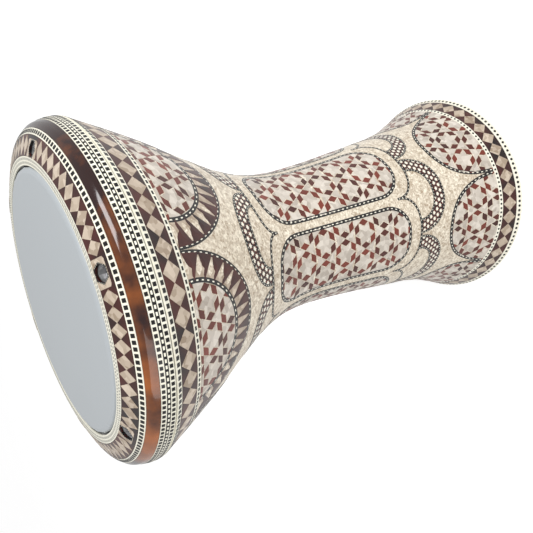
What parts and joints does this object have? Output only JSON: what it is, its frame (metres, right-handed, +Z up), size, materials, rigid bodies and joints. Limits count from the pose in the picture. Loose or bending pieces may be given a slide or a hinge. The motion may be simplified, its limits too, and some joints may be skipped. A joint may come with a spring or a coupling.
{
  "type": "goblet drum",
  "caption": "Inlaid goblet drum with a cast metal shell, a flat film head and a bevelled tension ring pulled down by recessed socket screws.",
  "frame": {"origin": "centre of the foot's resting plane", "axes": "+Z up along the drum's axis, from the foot to the head"},
  "size_m": [0.2618, 0.2618, 0.44],
  "materials": {
    "shell": "cast and turned, satin",
    "head_film": "grey polyester film, satin",
    "head_hoop": "mill finish",
    "tension_ring": "turned, satin",
    "bone_strips": "cream, polished under lacquer",
    "pearl_bands": "mother-of-pearl mosaic under clear lacquer",
    "pearl_field": "mother-of-pearl mosaic under clear lacquer",
    "tortoiseshell_band": "dark mottled, high gloss",
    "hole_frames": "black, polished under lacquer",
    "screws": "plated steel"
  },
  "bodies": {
    "body": {"shell": "shell", "head_film": "head_film", "head_hoop": "head_hoop", "bowl_edge_strip": "bone_strips", "bowl_diamond_band": "pearl_bands", "bowl_dash_strip": "bone_strips", "pearl_field": "pearl_field", "foot_dot_strip": "bone_strips", "foot_diamond_band": "pearl_bands", "foot_edge_strip": "bone_strips"},
    "ring": {"tension_ring": "tension_ring", "ring_lip_strip": "bone_strips", "ring_diamond_band": "pearl_bands", "ring_square_strip": "bone_strips", "tortoiseshell_band": "tortoiseshell_band", "ring_side_banding": "bone_strips", "hole_frame_1": "hole_frames", "hole_frame_2": "hole_frames", "hole_frame_3": "hole_frames", "hole_frame_4": "hole_frames", "hole_frame_5": "hole_frames", "hole_frame_6": "hole_frames", "screw_washer_1": "screws", "screw_washer_2": "screws", "screw_washer_3": "screws", "screw_washer_4": "screws", "screw_washer_5": "screws", "screw_washer_6": "screws"},
    "screw_1": {"tuning_screw_1": "screws"},
    "screw_2": {"tuning_screw_2": "screws"},
    "screw_3": {"tuning_screw_3": "screws"},
    "screw_4": {"tuning_screw_4": "screws"},
    "screw_5": {"tuning_screw_5": "screws"},
    "screw_6": {"tuning_screw_6": "screws"}
  },
  "joints": [
    {"name": "ring_slide", "type": "slide", "parent": "body", "child": "ring", "axis": [0, 0, 1], "range_m": [0, 0.006]},
    {"name": "screw_turn_1", "type": "hinge", "parent": "ring", "child": "screw_1", "pos_m": [0.11176, 0.00978, 0.43], "axis": [0, 0, 1], "range_deg": [0, 2165]},
    {"name": "screw_turn_2", "type": "hinge", "parent": "ring", "child": "screw_2", "pos_m": [0.04741, 0.10167, 0.43], "axis": [0, 0, 1], "range_deg": [0, 2165]},
    {"name": "screw_turn_3", "type": "hinge", "parent": "ring", "child": "screw_3", "pos_m": [-0.06435, 0.0919, 0.43], "axis": [0, 0, 1], "range_deg": [0, 2165]},
    {"name": "screw_turn_4", "type": "hinge", "parent": "ring", "child": "screw_4", "pos_m": [-0.11176, -0.00978, 0.43], "axis": [0, 0, 1], "range_deg": [0, 2165]},
    {"name": "screw_turn_5", "type": "hinge", "parent": "ring", "child": "screw_5", "pos_m": [-0.04741, -0.10167, 0.43], "axis": [0, 0, 1], "range_deg": [0, 2165]},
    {"name": "screw_turn_6", "type": "hinge", "parent": "ring", "child": "screw_6", "pos_m": [0.06435, -0.0919, 0.43], "axis": [0, 0, 1], "range_deg": [0, 2165]}
  ],
  "couplings": [
    {"joint": "screw_turn_1", "follows": "ring_slide", "rad_per_m": 6283.2},
    {"joint": "screw_turn_2", "follows": "ring_slide", "rad_per_m": 6283.2},
    {"joint": "screw_turn_3", "follows": "ring_slide", "rad_per_m": 6283.2},
    {"joint": "screw_turn_4", "follows": "ring_slide", "rad_per_m": 6283.2},
    {"joint": "screw_turn_5", "follows": "ring_slide", "rad_per_m": 6283.2},
    {"joint": "screw_turn_6", "follows": "ring_slide", "rad_per_m": 6283.2}
  ]
}
